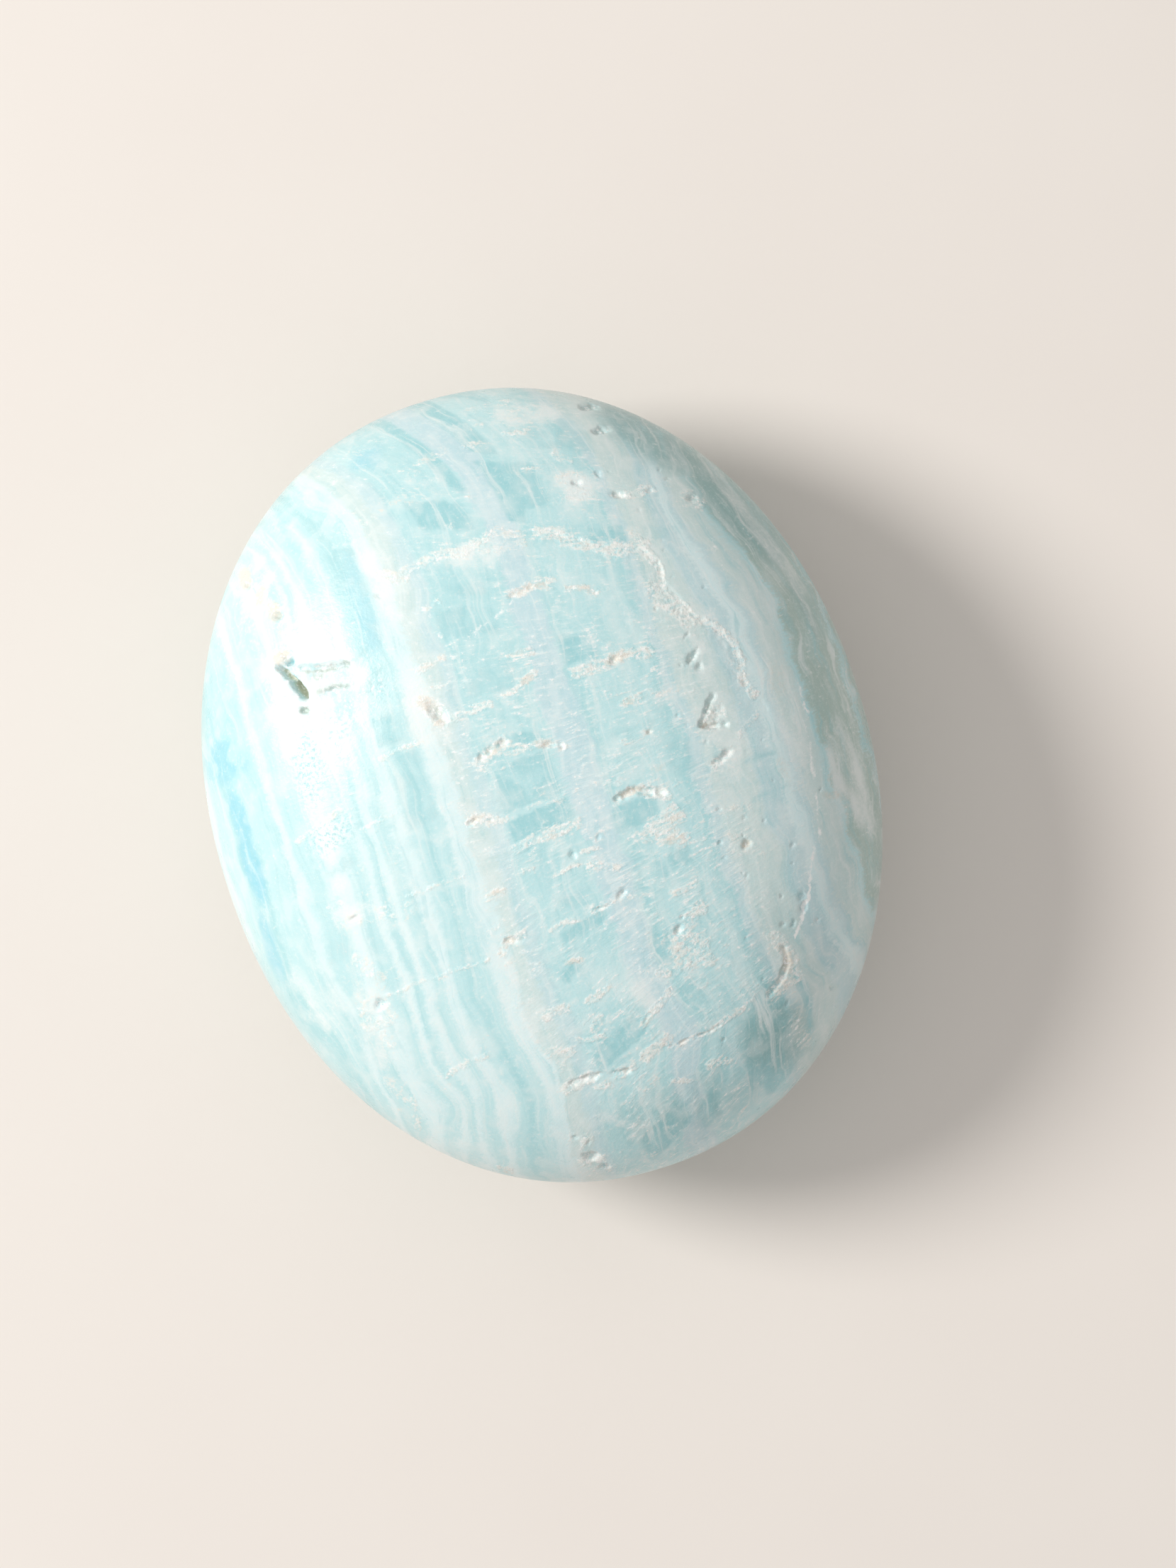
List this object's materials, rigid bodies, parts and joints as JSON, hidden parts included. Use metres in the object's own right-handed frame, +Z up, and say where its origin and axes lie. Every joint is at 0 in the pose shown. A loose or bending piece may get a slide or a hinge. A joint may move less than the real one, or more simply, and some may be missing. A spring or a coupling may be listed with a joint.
{
  "type": "palm stone",
  "caption": "Oval palm stone of banded blue-green calcite, polished smooth, with a small open slit, pits and ledges, resting on a small flat spot.",
  "frame": {"origin": "middle of the stone's plan at the level of the small flat spot that it rests on", "axes": "+Y along the stone, the way its bands run; +X across it, to the right in the picture; +Z up out of the polished face that the picture shows"},
  "size_m": [0.0394, 0.048, 0.021],
  "materials": {
    "banded_calcite": "satin polish, pale blue-green bands along its length with white crystal breaks across them"
  },
  "bodies": {
    "root": {"palm_stone": "banded_calcite"}
  },
  "joints": []
}
